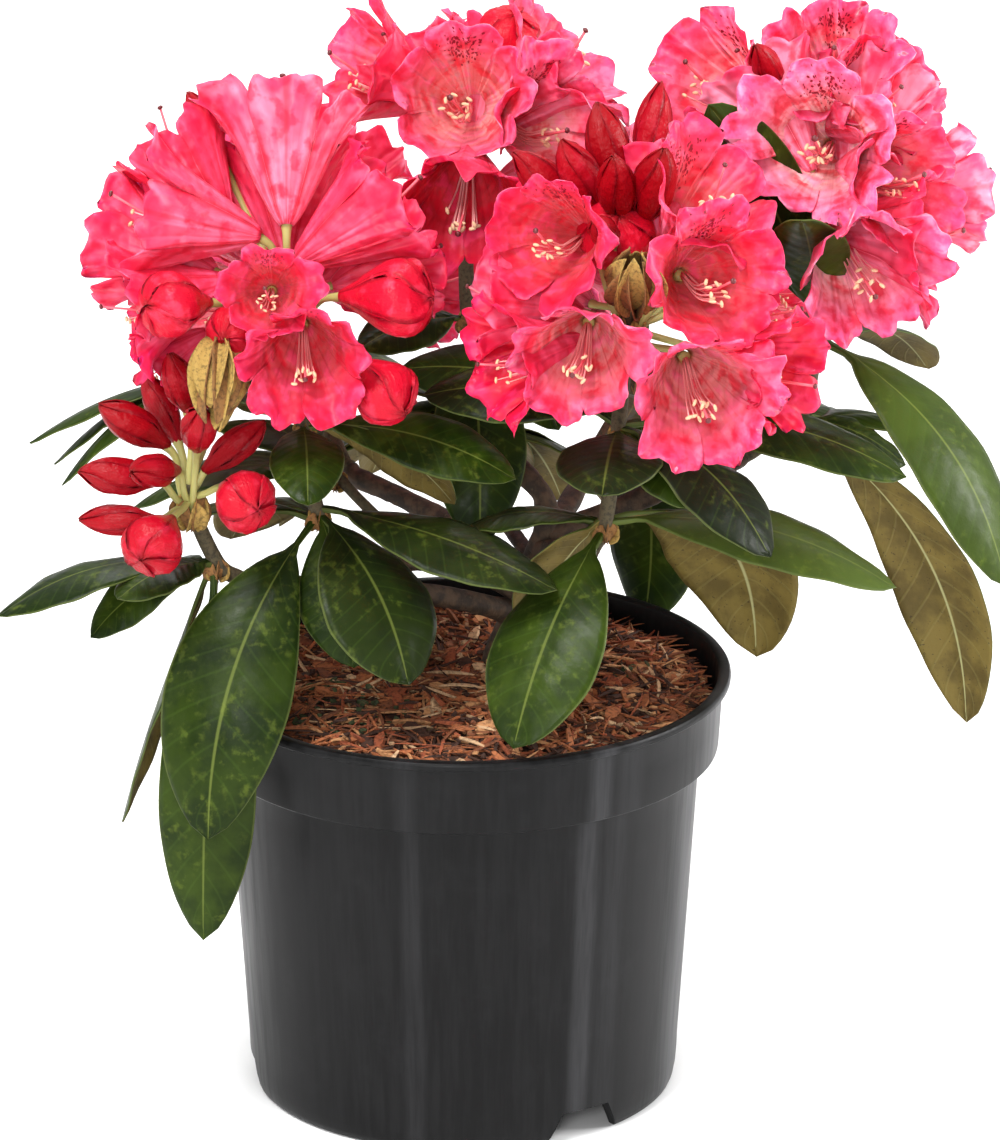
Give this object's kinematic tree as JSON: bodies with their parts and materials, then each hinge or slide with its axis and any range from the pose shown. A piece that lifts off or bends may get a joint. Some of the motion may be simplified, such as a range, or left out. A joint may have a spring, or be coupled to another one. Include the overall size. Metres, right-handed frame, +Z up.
{
  "type": "potted rhododendron",
  "caption": "Flowering evergreen shrub in a round ribless plant pot: short trunk, spreading boughs, whorls of long leathery leaves and domed heads of frilled coral-pink flowers.",
  "frame": {"origin": "on the ground at the centre of the pot's flat underside", "axes": "+Z up along the pot's axis, -Y to the front of the plant, +X to its right as seen from the front"},
  "size_m": [0.418, 0.3301, 0.4658],
  "materials": {
    "pot": "dark grey satin plastic",
    "mulch": "reddish-brown composted bark",
    "bark": "dark brown bark",
    "foliage": "leathery dark green leaves",
    "blossom": "soft coral-pink petals"
  },
  "bodies": {
    "root": {"pot": "pot", "substrate": "mulch", "trunk": "bark", "bud_bough": "bark", "side_bough": "bark", "back_left_bough": "bark", "left_bough": "bark", "back_bough": "bark", "front_bough": "bark", "back_right_bough": "bark", "right_bough": "bark", "top_bough": "bark", "left_head": "blossom", "top_head": "blossom", "front_head": "blossom", "right_head": "blossom", "bud_head": "foliage", "left_shoot": "foliage", "back_left_head": "blossom", "back_right_head": "blossom", "back_shoot": "foliage"}
  },
  "joints": []
}
